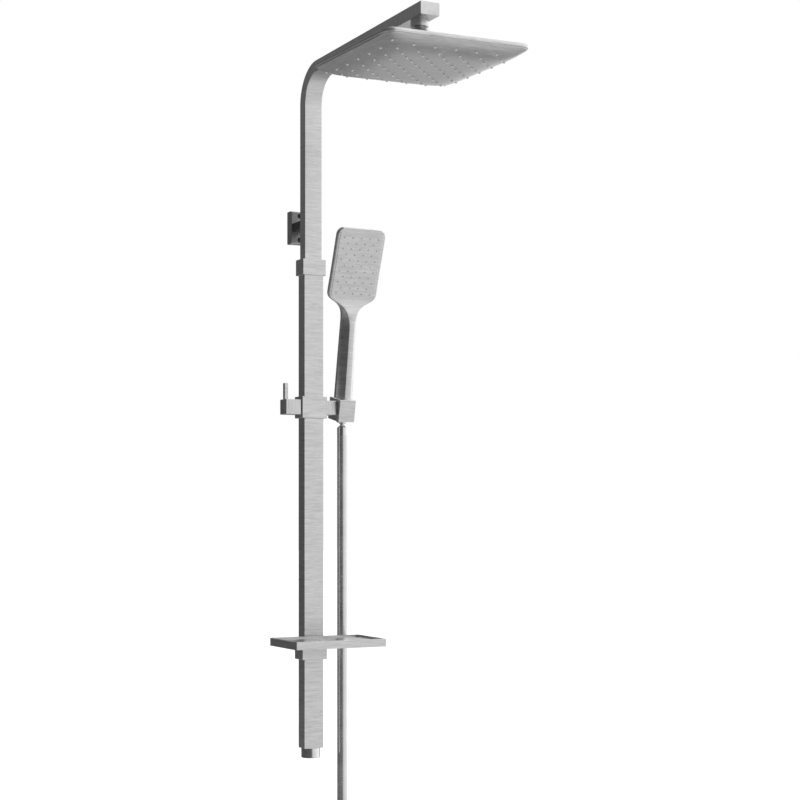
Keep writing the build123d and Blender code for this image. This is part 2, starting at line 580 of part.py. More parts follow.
def handle_bevels():
    """Two long wedges that leave a narrow flat along the handle's front."""
    cuts = []
    for side in (-1, 1):
        edge, outer = (side * BEVEL_X, HANDLE_FRONT), (side * HANDLE_W / 2, HANDLE_FRONT + BEVEL_DEEP)
        out = (outer[0] + (outer[0] - edge[0]), outer[1] + (outer[1] - edge[1]))
        start = (edge[0] - (outer[0] - edge[0]) * 0.2, edge[1] - (outer[1] - edge[1]) * 0.2)
        wedge = make_face(Polyline(start, out, (out[0], start[1]), close=True))
        prism = Pos(SOCKET_X, 0, SHOULDER_Z - 1) * extrude(wedge, NECK_Z + 20 - SHOULDER_Z)
        roof = Rot(0, -side * 60, 0) * Box(200, 200, 100, align=(Align.CENTER, Align.CENTER, Align.MIN))
        cuts.append(prism - Pos(SOCKET_X + edge[0], HANDLE_FRONT, NECK_Z - 5) * roof)
    return cuts


def face_slab(margin, z0, z1, r):
    """A rounded slab on the spray face, inset from its outline, between two depths."""
    w, h = FACE_W - 2 * margin, FACE_LENGTH - 8 - 2 * margin
    middle = FACE_MARGIN - (FACE_LENGTH - 8) / 2
    return face_plane() * (Pos(0, middle, z0) * extrude(RectangleRounded(w, h, r), z1 - z0))


def handset_body():
    body = side_profile() & front_outline()
    for cut in handle_bevels():
        body -= cut
    body += post(THREAD_R, 2, SHOULDER_Z, SOCKET_X, SOCKET_Y)
    body -= face_slab(4.0, -FACE_PLATE_T, 3, 7)
    body -= face_slab(6.5, -6.5, 0, 5)
    body -= post(4.5, 0, NECK_Z + 10, SOCKET_X, SOCKET_Y)
    duct = Pos(SOCKET_X, SOCKET_Y, NECK_Z + 8) * Rot(8, 0, 0) * post(3.4, -3, 20)
    return lean(body - duct)


def handset_nozzles():
    """Places on the spray face: rows of five and four in turn."""
    places = []
    for row in range(NOZZLE_ROWS):
        count = 5 - row % 2
        places += [((i - (count - 1) / 2) * NOZZLE_PITCH, -row * NOZZLE_ROW) for i in range(count)]
    return places


def handset_face():
    plate = face_slab(4.2, -FACE_PLATE_T, 0, 6.8)
    for x, y in handset_nozzles():
        plate -= face_plane() * post(1.3, -3, 1, x, y)
    return lean(plate)


def handset_nozzle_mat():
    mat = face_slab(6.7, -FACE_PLATE_T - 1.2, -FACE_PLATE_T, 4.8)
    for x, y in handset_nozzles():
        mat += face_plane() * post(1.3, -FACE_PLATE_T, 0.8, x, y)
        mat -= face_plane() * post(0.5, -5, 2, x, y)
    return lean(mat)


def handset_washer():
    ring = post(THREAD_R, 0, 2, SOCKET_X, SOCKET_Y) - post(4.5, -1, 3, SOCKET_X, SOCKET_Y)
    return lean(ring)


def hose_nut_top():
    """The conical nut that sits in the holder and keeps the hose's ball."""
    nut = cone(CONE_FOOT, CONE_TOP)
    nut -= post(THREAD_R, 0, CONE_TOP + 1, SOCKET_X, SOCKET_Y)
    nut -= post(4.5, -12, 1, SOCKET_X, SOCKET_Y)
    return lean(nut - Pos(SOCKET_X, SOCKET_Y, JOINT_DROP) * Sphere(HOSE_BALL_R + BALL_GAP))


# ---- hose ----
HOSE_Y, BALL_Z_HOSE = leaned(SOCKET_Y, JOINT_DROP)
HOSE_TOP_Z = BALL_Z_HOSE - FERRULE_FOOT
HANK_FOOT_Z = (BALL_Z_HOSE + 2 * HANK_TOP_Z - END_RISE + 2 * pi * FOLD_R - HOSE_LENGTH) / 3
HOSE_END_Z = HANK_FOOT_Z + END_RISE
REAR_Y = HOSE_Y + HANK_STEP


def hose_ball_end():
    end = Pos(SOCKET_X, HOSE_Y, BALL_Z_HOSE) * Sphere(HOSE_BALL_R)
    end += post(3.0, BALL_Z_HOSE - 8, BALL_Z_HOSE, SOCKET_X, HOSE_Y)
    end += Pos(SOCKET_X, HOSE_Y, BALL_Z_HOSE - 8.5) * Cone(HOSE_R, 3.0, 4)
    end += post(HOSE_R, HOSE_TOP_Z, BALL_Z_HOSE - 10.5, SOCKET_X, HOSE_Y)
    return end - post(2.2, HOSE_TOP_Z - 1, BALL_Z_HOSE + 7, SOCKET_X, HOSE_Y)


def hose_tube():
    return post(HOSE_R, HANK_TOP_Z, HOSE_TOP_Z, SOCKET_X, HOSE_Y)


def racetrack(y0, y1):
    """The outer shape of one layer of folds, flat in the XZ plane."""
    height, middle = HANK_TOP_Z - HANK_FOOT_Z, (HANK_TOP_Z + HANK_FOOT_Z) / 2
    track = None
    for r in (FOLD_R + HOSE_R, FOLD_R - HOSE_R):
        slab = Pos(SOCKET_X + FOLD_R, y1, middle) * Rot(90, 0, 0) * extrude(
            RectangleRounded(2 * r, height + 2 * r, r - 0.01), y1 - y0)
        track = slab if track is None else track - slab
    return track


def hose_hank():
    """The stowed length: down, round a fold, up, over a fold and down again behind."""
    far = 400.0
    front = racetrack(HOSE_Y - HOSE_R, HOSE_Y + HOSE_R) - block(-far, far, -far, far, HANK_TOP_Z, far)
    rear = racetrack(HOSE_Y + HOSE_R, REAR_Y + HOSE_R)
    rear -= block(-far, SOCKET_X + FOLD_R, -far, far, -2000, HOSE_END_Z)
    rear -= block(-far, far, -far, far, -2000, HANK_FOOT_Z)
    return front + rear


def hose_tie():
    """A flat strap round the three runs of the hank."""
    w, d = 2 * (FOLD_R + HOSE_R), HANK_STEP + 2 * HOSE_R
    x, y, z = SOCKET_X + FOLD_R, HOSE_Y + HANK_STEP / 2, (HANK_TOP_Z + HANK_FOOT_Z) / 2
    strap = upright(w + 2.4, d + 2.4, 3.0, z - 7, z + 7, x, y)
    return strap - block(x - w / 2, x + w / 2, y - d / 2, y + d / 2, z - 8, z + 8)


def hose_nut_bottom():
    nut = post(12.0, HOSE_END_Z - 22, HOSE_END_Z - 6, SOCKET_X, REAR_Y)
    nut += Pos(SOCKET_X, REAR_Y, HOSE_END_Z - 3.2) * Cone(12.0, 9.0, 5.6)
    nut -= post(9.3, HOSE_END_Z - 23, HOSE_END_Z - 11, SOCKET_X, REAR_Y)
    nut -= post(10.0, HOSE_END_Z - 11.5, HOSE_END_Z - 9, SOCKET_X, REAR_Y)
    return nut - post(HOSE_R - 1.0, HOSE_END_Z - 10, HOSE_END_Z + 1, SOCKET_X, REAR_Y)


def hose_end_ferrule():
    """The flanged sleeve that the lower nut turns on."""
    sleeve_part = post(HOSE_R - 1.05, HOSE_END_Z - 9.5, HOSE_END_Z, SOCKET_X, REAR_Y)
    sleeve_part += post(9.0, HOSE_END_Z - 11, HOSE_END_Z - 9.3, SOCKET_X, REAR_Y)
    return sleeve_part - post(2.2, HOSE_END_Z - 12, HOSE_END_Z + 1, SOCKET_X, REAR_Y)


# ---- soap dish ----
def dish_tray():
    """A flat tray with a shallow recess on top, hollow below except for a pad over the tongue."""
    foot = DISH_TOP_Z - DISH_H
    tray = block(DISH_X0, DISH_X1, DISH_Y0, DISH_Y1, foot, DISH_TOP_Z)
    tray = fillet(tray.edges().filter_by(Axis.Z), 2.5)
    tray = chamfer(tray.faces().sort_by(Axis.Z)[-1].edges(), 0.4)
    x0, x1, y0, y1 = DISH_X0 + DISH_RIM, DISH_X1 - DISH_RIM, DISH_Y0 + DISH_RIM, DISH_Y1 - DISH_RIM
    recess = block(x0, x1, y0, y1, DISH_TOP_Z - DISH_RECESS, DISH_TOP_Z + 1)
    tray -= fillet(recess.edges().filter_by(Axis.Z), 6.0)
    hollow = block(x0, x1, y0, y1, foot - 1, DISH_TOP_Z - DISH_SKIN)
    pad = block(-20, 20, DISH_Y1 - 30, 0, foot - 2, DISH_TOP_Z)
    tray -= fillet(hollow.edges().filter_by(Axis.Z), 2.0) - pad
    for x, y in dish_screw_places():
        tray -= post(2.0, foot - 1, foot + 5.5, x, y)
    for i in range(DRAIN_COUNT):
        x = (i - (DRAIN_COUNT - 1) / 2) * DRAIN_PITCH
        slot = extrude(SlotOverall(DRAIN_LENGTH, DRAIN_W), DISH_H + 2)
        tray -= Pos(x, DRAIN_Y, foot - 1) * Rot(0, 0, 90) * slot
    return tray


def dish_screw_places():
    return [(x, DISH_Y1 - 14) for x in (-12, 12)]


def dish_screws():
    """Two screws from below, through the tongue into the tray's pad."""
    seat = DISH_TOP_Z - DISH_H - TONGUE_T
    screws = []
    for x, y in dish_screw_places():
        screw = post(3.8, seat - 2, seat, x, y) + post(2.0, seat, seat + TONGUE_T + 5, x, y)
        screws.append(screw - Pos(x, y, seat - 2.5) * extrude(RegularPolygon(1.5, 6), 2))
    return Compound(children=screws)


def dish_sleeve():
    """The sleeve on the rail with the tongue that carries the tray."""
    foot = DISH_TOP_Z - DISH_H
    body = sleeve(SLEEVE_FOOT_Z, SLEEVE_TOP_Z)
    tongue = block(-18, 18, DISH_Y1 - 40, COLUMN_Y - SLIDER_D / 2, foot - TONGUE_T, foot)
    body += fillet(tongue.edges().filter_by(Axis.Z).sort_by(Axis.Y)[:2], 5.0)
    for x, y in dish_screw_places():
        body -= post(2.0, foot - TONGUE_T - 1, foot + 1, x, y)
    return body - bar_y(2.5, COLUMN_Y + 9, COLUMN_Y + 15, 0, DISH_SCREW_Z)


def dish_sleeve_liner():
    ring = liner(SLEEVE_FOOT_Z + 1, SLEEVE_TOP_Z - 1)
    return ring - bar_y(2.5, COLUMN_Y + 9, COLUMN_Y + 15, 0, DISH_SCREW_Z)


def dish_grub_screw():
    y0 = COLUMN_Y + RAIL_D / 2 + SLIDE_GAP
    screw = bar_y(2.5, y0, y0 + 3.4, 0, DISH_SCREW_Z)
    return screw - Pos(0, y0 + 3.4, DISH_SCREW_Z) * Rot(90, 0, 0) * extrude(RegularPolygon(1.4, 6), 1.5, both=True)


PARTS = [
    wall_plate, wall_screws, bracket_stem, stem_bolt, riser_insert, bracket_grub_screw,
    riser_tube, arm_end_cap, arm_seal, riser_guide, riser_seals, outlet_boss,
    ball_stud, flow_restrictor, swivel_nut, ball_seat, inlet_filter,
    head_top_shell, head_face, head_nozzle_mat, head_screws,
    rail_tube, rail_collar, collar_wiper, collar_grub_screw, rail_end_plug, inlet_bush, inlet_o_ring,
    slider_body, slider_liner, brake_pad, knob, knob_spindle, knob_lever, holder_stub, stub_screw,
    holder_block, tilt_screw, tilt_washer,
    handset_body, handset_face, handset_nozzle_mat, handset_washer, hose_nut_top,
    hose_ball_end, hose_tube, hose_hank, hose_tie, hose_nut_bottom, hose_end_ferrule,
    dish_tray, dish_screws, dish_sleeve, dish_sleeve_liner, dish_grub_screw,
]

os.makedirs("parts", exist_ok=True)
for make in PARTS:
    export_step(make(), f"parts/{make.__name__}.step")
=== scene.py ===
import json
import math

import bpy
from mathutils import Matrix, Vector


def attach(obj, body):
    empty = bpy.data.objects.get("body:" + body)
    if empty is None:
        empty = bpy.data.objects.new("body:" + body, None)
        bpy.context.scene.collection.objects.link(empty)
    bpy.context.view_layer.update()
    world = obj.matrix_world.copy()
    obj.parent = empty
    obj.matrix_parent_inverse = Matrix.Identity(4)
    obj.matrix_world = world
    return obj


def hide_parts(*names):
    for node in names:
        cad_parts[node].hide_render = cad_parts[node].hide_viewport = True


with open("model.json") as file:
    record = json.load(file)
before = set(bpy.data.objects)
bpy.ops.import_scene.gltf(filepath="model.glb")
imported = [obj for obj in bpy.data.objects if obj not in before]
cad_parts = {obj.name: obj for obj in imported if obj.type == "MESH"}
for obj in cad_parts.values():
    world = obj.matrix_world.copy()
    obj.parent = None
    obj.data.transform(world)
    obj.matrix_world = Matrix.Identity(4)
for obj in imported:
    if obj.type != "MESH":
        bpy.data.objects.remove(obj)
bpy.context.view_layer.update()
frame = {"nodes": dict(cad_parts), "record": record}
NODES = frame["nodes"]
MM = 0.001

# ---- camera and studio ----
CAMERA_AT = (-1.0046, -2.2158, -0.4106)
CAMERA_TURN = -26.703           # degrees about Z, seen from above
LENS = 74.51
SHIFT = (0.0456, 0.1363)
FLOOR_Z = -1.30
STUDIO_STRENGTH = 1.0
FLOOR_HALF = 30.0


def new_object(name, data):
    """Links a piece of geometry to the scene and returns its object."""
    obj = bpy.data.objects.new(name, data)
    bpy.context.scene.collection.objects.link(obj)
    return obj


def make_camera():
    camera = bpy.data.cameras.new("camera")
    camera.lens = LENS
    camera.sensor_width = 36.0
    camera.shift_x, camera.shift_y = SHIFT
    camera.clip_start, camera.clip_end = 0.05, 100.0
    obj = new_object("camera", camera)
    obj.location = CAMERA_AT
    obj.rotation_euler = (math.radians(90), 0, math.radians(CAMERA_TURN))
    bpy.context.scene.camera = obj


def link(tree, source, target):
    tree.links.new(source, target)


def add(tree, kind, **settings):
    """Adds a shader node; settings are its properties, or input values as in_NAME."""
    node = tree.nodes.new(kind)
    for key, value in settings.items():
        if key.startswith("in_"):
            node.inputs[key[3:].replace("_", " ")].default_value = value
        else:
            setattr(node, key, value)
    return node


def ramp(tree, source, stops):
    """A grey ramp; stops are pairs of place and grey."""
    node = tree.nodes.new("ShaderNodeValToRGB")
    elements = node.color_ramp.elements
    while len(elements) < len(stops):
        elements.new(0.5)
    for element, (place, grey) in zip(elements, stops):
        element.position = place
        element.color = (grey, grey, grey, 1)
    link(tree, source, node.inputs["Fac"])
    return node.outputs["Color"]


def math_node(tree, operation, a, b=0.0, c=0.0):
    """A math node; a, b and c are sockets or numbers."""
    node = add(tree, "ShaderNodeMath", operation=operation)
    for socket, value in zip(node.inputs, (a, b, c)):
        if isinstance(value, bpy.types.NodeSocket):
            link(tree, value, socket)
        else:
            socket.default_value = value
    return node.outputs[0]


def spread(tree, value, low, high, to_low, to_high):
    node = add(tree, "ShaderNodeMapRange")
    for name, number in zip(("From Min", "From Max", "To Min", "To Max"), (low, high, to_low, to_high)):
        node.inputs[name].default_value = number
    link(tree, value, node.inputs["Value"])
    return node.outputs[0]


def dot(tree, vector, axis):
    """How far a vector points along an axis."""
    node = add(tree, "ShaderNodeVectorMath", operation="DOT_PRODUCT")
    node.inputs[1].default_value = axis
    link(tree, vector, node.inputs[0])
    return node.outputs["Value"]


def blend(tree, factor, first, second):
    """Goes from one colour socket to another as the factor goes from 0 to 1."""
    node = add(tree, "ShaderNodeMix", data_type="RGBA")
    for socket, place in zip((factor, first, second), (0, 6, 7)):
        link(tree, socket, node.inputs[place])
    return node.outputs[2]


# Grey of the studio round the object, by heading: 0 is straight behind the object as the camera
# sees it, 0.5 is towards the camera, and what lies between them is on the camera's left.
STUDIO_BELOW = [(0.0, 0.42), (0.03, 0.40), (0.25, 0.42), (0.45, 0.38), (0.53, 0.40), (0.58, 0.80),
                (0.65, 0.95), (0.80, 0.95), (0.92, 0.60), (1.0, 0.44)]
STUDIO_LEVEL = [(0.0, 0.20), (0.03, 0.12), (0.14, 0.11), (0.25, 0.05), (0.45, 0.07), (0.53, 0.12),
                (0.57, 0.85), (0.65, 1.0), (0.80, 1.35), (1.0, 1.5)]
STUDIO_ABOVE = [(0.0, 0.30), (0.03, 0.22), (0.14, 0.20), (0.25, 0.16), (0.45, 0.20), (0.53, 0.30),
                (0.57, 1.05), (0.65, 1.25), (0.80, 1.4), (1.0, 1.5)]
# Where one ramp gives way to the next, as the upward part of the direction.
LEVEL_TO_ABOVE = (0.08, 0.26)
LEVEL_TO_BELOW = (-0.16, -0.26)


def make_world():
    """A soft studio: one very large light on the right of the object, dark cards on its left."""
    world = bpy.data.worlds.new("studio")
    bpy.context.scene.world = world
    world.use_nodes = True
    tree = world.node_tree
    tree.nodes.clear()
    direction = add(tree, "ShaderNodeTexCoord").outputs["Generated"]
    turn = math.radians(CAMERA_TURN)
    right = dot(tree, direction, (math.cos(turn), math.sin(turn), 0))
    towards = dot(tree, direction, (math.sin(turn), -math.cos(turn), 0))
    up = dot(tree, direction, (0, 0, 1))
    angle = math_node(tree, "ARCTAN2", right, towards)
    heading = math_node(tree, "MULTIPLY_ADD", angle, 0.5 / math.pi, 0.5)
    level = ramp(tree, heading, STUDIO_LEVEL)
    rise = spread(tree, up, *LEVEL_TO_ABOVE, 0.0, 1.0)
    above = blend(tree, rise, level, ramp(tree, heading, STUDIO_ABOVE))
    fall = spread(tree, up, *LEVEL_TO_BELOW, 0.0, 1.0)
    light = blend(tree, fall, above, ramp(tree, heading, STUDIO_BELOW))
    soft = add(tree, "ShaderNodeBackground", in_Strength=STUDIO_STRENGTH)
    link(tree, light, soft.inputs["Color"])
    plain = add(tree, "ShaderNodeBackground", in_Strength=1.0)
    plain.inputs["Color"].default_value = (1, 1, 1, 1)
    seen = add(tree, "ShaderNodeLightPath").outputs["Is Camera Ray"]
    mix = add(tree, "ShaderNodeMixShader")
    link(tree, seen, mix.inputs[0])
    link(tree, soft.outputs[0], mix.inputs[1])
    link(tree, plain.outputs[0], mix.inputs[2])
    out = add(tree, "ShaderNodeOutputWorld")
    link(tree, mix.outputs[0], out.inputs["Surface"])
    bpy.context.scene.view_settings.view_transform = "Standard"


def make_floor():
    """A pale matt floor below the column."""
    size = FLOOR_HALF
    mesh = bpy.data.meshes.new("floor")
    corners = [(-size, -size, FLOOR_Z), (size, -size, FLOOR_Z), (size, size, FLOOR_Z), (-size, size, FLOOR_Z)]
    mesh.from_pydata(corners, [], [(0, 1, 2, 3)])
    floor = new_object("floor", mesh)
    material = bpy.data.materials.new("floor")
    material.use_nodes = True
    shader = material.node_tree.nodes["Principled BSDF"]
    shader.inputs["Base Color"].default_value = (0.9, 0.9, 0.9, 1)
    shader.inputs["Roughness"].default_value = 0.9
    shader.inputs["Emission Color"].default_value = (1, 1, 1, 1)
    shader.inputs["Emission Strength"].default_value = 0.55
    mesh.materials.append(material)
    floor.visible_glossy = False


make_camera()
make_world()
make_floor()

# ---- materials ----
# Noise scales, per metre: along the brush lines, across them, and of the clouding.
ALONG_STREAK, ACROSS_STREAK = 38.0, 470.0
ALONG_FINE, ACROSS_FINE = 152.0, 4200.0
CLOUD = 9.0
# Where the riser bends into the arm: the bend's radius, and its middle in Y and Z.
BEND_R, BEND_Y, BEND_Z = 0.045, -0.095, 0.1705


def new_material(name):
    material = bpy.data.materials.new(name)
    material.use_nodes = True
    tree = material.node_tree
    return material, tree, tree.nodes["Principled BSDF"]


def combine(tree, x, y, z):
    node = add(tree, "ShaderNodeCombineXYZ")
    for socket, value in zip(node.inputs, (x, y, z)):
        link(tree, value, socket)
    return node.outputs[0]


def coordinates(tree):
    place = add(tree, "ShaderNodeTexCoord").outputs["Object"]
    split = add(tree, "ShaderNodeSeparateXYZ")
    link(tree, place, split.inputs[0])
    return place, split.outputs


def scaled(tree, vector, scale):
    node = add(tree, "ShaderNodeMapping")
    node.inputs["Scale"].default_value = scale
    link(tree, vector, node.inputs["Vector"])
    return node.outputs[0]


def noise(tree, vector, scale=1.0, detail=3.0, rough=0.6, distortion=0.0):
    node = add(tree, "ShaderNodeTexNoise", in_Scale=scale, in_Detail=detail, in_Roughness=rough,
               in_Distortion=distortion)
    link(tree, vector, node.inputs["Vector"])
    return node.outputs["Fac"]


def grey_mix(tree, factor, dark, light):
    node = add(tree, "ShaderNodeMix", data_type="RGBA")
    node.inputs["A"].default_value = (*dark, 1)
    node.inputs["B"].default_value = (*light, 1)
    link(tree, factor, node.inputs["Factor"])
    return node.outputs["Result"]


def bumped(tree, shader, height, depth, strength):
    """Gives a shader bumps of a depth in metres."""
    node = add(tree, "ShaderNodeBump", in_Strength=strength, in_Distance=depth)
    link(tree, height, node.inputs["Height"])
    link(tree, node.outputs[0], shader.inputs["Normal"])


def arm_length(tree, split):
    """Distance along the riser and the arm, from the bend's start."""
    rise = math_node(tree, "SUBTRACT", split["Z"], BEND_Z)
    back = math_node(tree, "SUBTRACT", split["Y"], BEND_Y)
    angle = math_node(tree, "ARCTAN2", rise, back)
    angle = math_node(tree, "MINIMUM", math_node(tree, "MAXIMUM", angle, 0.0), math.pi / 2)
    below = math_node(tree, "MINIMUM", rise, 0.0)
    beyond = math_node(tree, "MAXIMUM", math_node(tree, "MULTIPLY", back, -1.0), 0.0)
    return math_node(tree, "ADD", math_node(tree, "MULTIPLY_ADD", angle, BEND_R, below), beyond)


def grain_vector(tree, grain):
    """Coordinates in metres whose Z runs across the brush lines, for grain x, z or bend."""
    place, split = coordinates(tree)
    if grain == "bend":
        depth = math_node(tree, "ADD", split["Y"], split["Z"])
        return combine(tree, split["X"], depth, arm_length(tree, split))
    if grain == "z":
        return combine(tree, split["Z"], split["Y"], split["X"])
    return place


def brushed(name, grain="x", tone=0.60, rough=0.30, depth=1.0):
    """Brushed nickel: long wavy streaks with a fine grain over them."""
    material, tree, shader = new_material(name)
    vector = grain_vector(tree, grain)
    long_scale = (ALONG_STREAK, ALONG_STREAK, ACROSS_STREAK)
    streaks = noise(tree, scaled(tree, vector, long_scale), detail=4.0, rough=0.62, distortion=0.7)
    short_scale = (ALONG_FINE, ALONG_FINE, ACROSS_FINE)
    fine = noise(tree, scaled(tree, vector, short_scale), detail=2.0, rough=0.5)
    cloud = noise(tree, scaled(tree, vector, (CLOUD, CLOUD, CLOUD)), detail=2.0)
    lines = math_node(tree, "MULTIPLY_ADD", fine, 0.35, math_node(tree, "MULTIPLY", streaks, 0.65))
    tint = spread(tree, lines, 0.32, 0.68, 0.0, 1.0)
    dark = (tone * 0.74, tone * 0.74, tone * 0.74)
    light = (tone * 1.14, tone * 1.14, tone * 1.14)
    link(tree, grey_mix(tree, tint, dark, light), shader.inputs["Base Color"])
    shine = spread(tree, lines, 0.3, 0.7, rough - 0.07, rough + 0.05)
    blur = math_node(tree, "MULTIPLY_ADD", cloud, 0.08, shine)
    link(tree, blur, shader.inputs["Roughness"])
    shader.inputs["Metallic"].default_value = 1.0
    bumped(tree, shader, lines, 0.00012 * depth, 0.35)
    return material


def moulded(name, colour, rough=0.5, grain_size=2200.0, depth=0.00005, coat=0.0, metal=0.0):
    """Moulded plastic or rubber with a fine grain and slight clouding."""
    material, tree, shader = new_material(name)
    place, _ = coordinates(tree)
    fine = noise(tree, place, scale=grain_size, detail=2.0)
    cloud = noise(tree, place, scale=40.0, detail=3.0)
    dark = tuple(c * 0.88 for c in colour)
    light = tuple(min(1.0, c * 1.12) for c in colour)
    link(tree, grey_mix(tree, cloud, dark, light), shader.inputs["Base Color"])
    link(tree, spread(tree, cloud, 0.3, 0.7, rough - 0.06, rough + 0.06), shader.inputs["Roughness"])
    shader.inputs["Coat Weight"].default_value = coat
    shader.inputs["Metallic"].default_value = metal
    bumped(tree, shader, fine, depth, 0.4)
    return material


def turned(name, colour, rough=0.28):
    """Turned metal with fine rings and clouding."""
    material, tree, shader = new_material(name)
    place, _ = coordinates(tree)
    rings = noise(tree, scaled(tree, place, (60, 60, 2600)), detail=2.0)
    cloud = noise(tree, place, scale=60.0, detail=3.0)
    dark = tuple(c * 0.82 for c in colour)
    light = tuple(min(1.0, c * 1.1) for c in colour)
    link(tree, grey_mix(tree, cloud, dark, light), shader.inputs["Base Color"])
    link(tree, spread(tree, rings, 0.3, 0.7, rough - 0.08, rough + 0.08), shader.inputs["Roughness"])
    shader.inputs["Metallic"].default_value = 1.0
    bumped(tree, shader, rings, 0.00006, 0.4)
    return material


NICKEL_ACROSS = brushed("nickel_brushed_x", "x")
NICKEL_ARM = brushed("nickel_brushed_bend", "bend")
NICKEL_UPRIGHT = brushed("nickel_brushed_z", "z")
# The wall plate is the same brushed nickel at a darker tone (0.42 against 0.60): painted shade for the plate
# behind the column.
NICKEL_PLATE_PAINTED_SHADE = brushed("nickel_wall_plate_painted_shade", "z", tone=0.42)
PLATED = brushed("nickel_plated_plastic", "x", tone=0.62, rough=0.33, depth=0.5)
PLATED_HAND = brushed("nickel_plated_hand", "x", tone=0.60, rough=0.30, depth=0.5)
SPRAY_FACE = brushed("spray_face", "x", tone=0.52, rough=0.36, depth=0.3)
BLACK = moulded("black_plastic", (0.012, 0.012, 0.012), rough=0.42)
WHITE = moulded("white_nylon", (0.75, 0.75, 0.73), rough=0.45)
RUBBER = moulded("black_rubber", (0.02, 0.02, 0.02), rough=0.65)
SILICONE = moulded("grey_silicone", (0.42, 0.42, 0.42), rough=0.4)
SCREW = turned("dark_steel", (0.10, 0.10, 0.10), rough=0.32)
BRASS = turned("brass", (0.72, 0.56, 0.30))
CHROME = turned("chrome", (0.72, 0.72, 0.73), rough=0.16)
HOSE_SKIN = moulded("silver_hose", (0.62, 0.62, 0.62), rough=0.24, depth=0.000008, metal=0.9)

SLOT_MATERIALS = {
    "brushed_nickel": NICKEL_ACROSS, "plated_abs": PLATED, "black_plastic": BLACK, "dark_steel": SCREW,
    "brass": BRASS, "chrome": CHROME, "silicone_grey": SILICONE, "rubber_black": RUBBER,
    "white_nylon": WHITE, "hose_silver": HOSE_SKIN,
}
OWN_MATERIALS = {
    "riser_tube": NICKEL_ARM, "arm_end_cap": NICKEL_ARM, "wall_plate": NICKEL_PLATE_PAINTED_SHADE,
    "knob": NICKEL_UPRIGHT, "holder_stub": NICKEL_UPRIGHT,
}


def dress_cad_nodes():
    """Gives every CAD node the material of its slot, or its own."""
    for part in frame["record"]["subparts"]:
        node = part["node"]
        material = OWN_MATERIALS.get(node, SLOT_MATERIALS[part["material_slot"]])
        NODES[node].data.materials.clear()
        NODES[node].data.materials.append(material)


dress_cad_nodes()

# ---- hose ----
# The axis, the radius, the hank and the end repeat part.py's. The top is higher than the CAD tube's,
# so that the tube also covers the straight foot of the hose's ball end.
HOSE_X, HOSE_Y = 0.050, -0.050454
HOSE_TOP = -0.2925
HOSE_R = 0.0075
DOWN_RUN = (HOSE_TOP, HOSE_TOP - 0.09, -0.60)   # heights of points on the straight stretch
FOLD_R = 0.045
FOLD_POINTS = 9
HANK_TOP, HANK_FOOT = -0.905, -1.111338
HANK_STEP = 0.0205              # from the front run to the rear run
HOSE_END = -1.086338


def fold(x, z, y0, y1, start, sweep):
    """Points round one fold of the hank, about (x, z), from one layer to the next."""
    points = []
    for i in range(FOLD_POINTS):
        t = (i + 0.5) / FOLD_POINTS
        angle = start + sweep * t
        r = FOLD_R / math.cos(abs(sweep) / FOLD_POINTS / 2)
        points.append((x + r * math.cos(angle), y0 + (y1 - y0) * t, z + r * math.sin(angle)))
    return points


def hose_route():
    """Straight down from the hand shower, then three runs of a hank."""
    middle = HOSE_X + FOLD_R
    far = HOSE_X + 2 * FOLD_R
    rear = HOSE_Y + HANK_STEP
    points = [(HOSE_X, HOSE_Y, z) for z in (*DOWN_RUN, HANK_TOP, -1.0)]
    points += fold(middle, HANK_FOOT, HOSE_Y, HOSE_Y, math.pi, math.pi)
    points += [(far, HOSE_Y, -1.06), (far, HOSE_Y, -0.96)]
    points += fold(middle, HANK_TOP, HOSE_Y, rear, 0, math.pi)
    points += [(HOSE_X, rear, -0.96), (HOSE_X, rear, -1.04), (HOSE_X, rear, HOSE_END)]
    return points


def make_hose():
    """The hose as one smooth tube along its route."""
    curve = bpy.data.curves.new("hose", "CURVE")
    curve.dimensions = "3D"
    curve.bevel_depth = HOSE_R
    curve.bevel_resolution = 8
    curve.resolution_u = 12
    curve.use_fill_caps = True
    route = hose_route()
    spline = curve.splines.new("NURBS")
    spline.points.add(len(route) - 1)
    for point, place in zip(spline.points, route):
        point.co = (*place, 1)
    spline.order_u = 3
    spline.use_endpoint_u = True
    hose = new_object("hose", curve)
    curve.materials.append(HOSE_SKIN)
    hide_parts("hose_tube", "hose_hank")
    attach(hose, "hose")


make_hose()


# ---- overhead spray head ----
HEAD_Y, BALL_Z = -0.3765, 0.186
HEAD_SET = (0.85, -1.4, 1.0)    # degrees about X, Y and Z
HEAD_HALF, HEAD_R = 103 * MM, 16 * MM
RIM_FOOT, RIM_TOP = 159.6 * MM, 164.6 * MM
FACE_INSET = 1.4 * MM
FACE_DROP, PILLOW_POWER = 13.4 * MM, 8.0
HEAD_PITCH, HEAD_ROWS = 29.4 * MM, 7
SIDE_STEPS, CORNER_STEPS = 22, 8
FACE_RINGS = 30
# Inset and height of the rim's eased lower edge, from the face outwards, in millimetres.
RIM_EDGE = [(1.4, 1.2), (1.4, 0.2), (1.0, 0.0), (0.4, 0.15), (0.0, 0.7)]
# Inset and height above the rim of the low roof, in millimetres.
ROOF_STEPS = [(8, 2.2), (16, 3.9), (24, 4.6)]
# Radius and height of the rings from the roof up to the neck, in millimetres.
NECK_STEPS = [(40, 169.8), (30, 171.2), (20, 172.8), (17, 173.7), (11.5, 174.2), (11, 174.7), (9, 174.8)]
CORNER_SHRINK = 8 * MM          # the most by which a ring's corner radius shrinks
# Radius and height of the rings of one soft nozzle, from its root to inside its hole, in millimetres.
NOZZLE_STEPS = [(2.5, 0.6), (2.4, -0.1), (1.9, -1.0), (1.45, -1.75), (1.2, -1.95), (0.8, -1.95),
                (0.7, -1.3), (0.65, -0.6)]


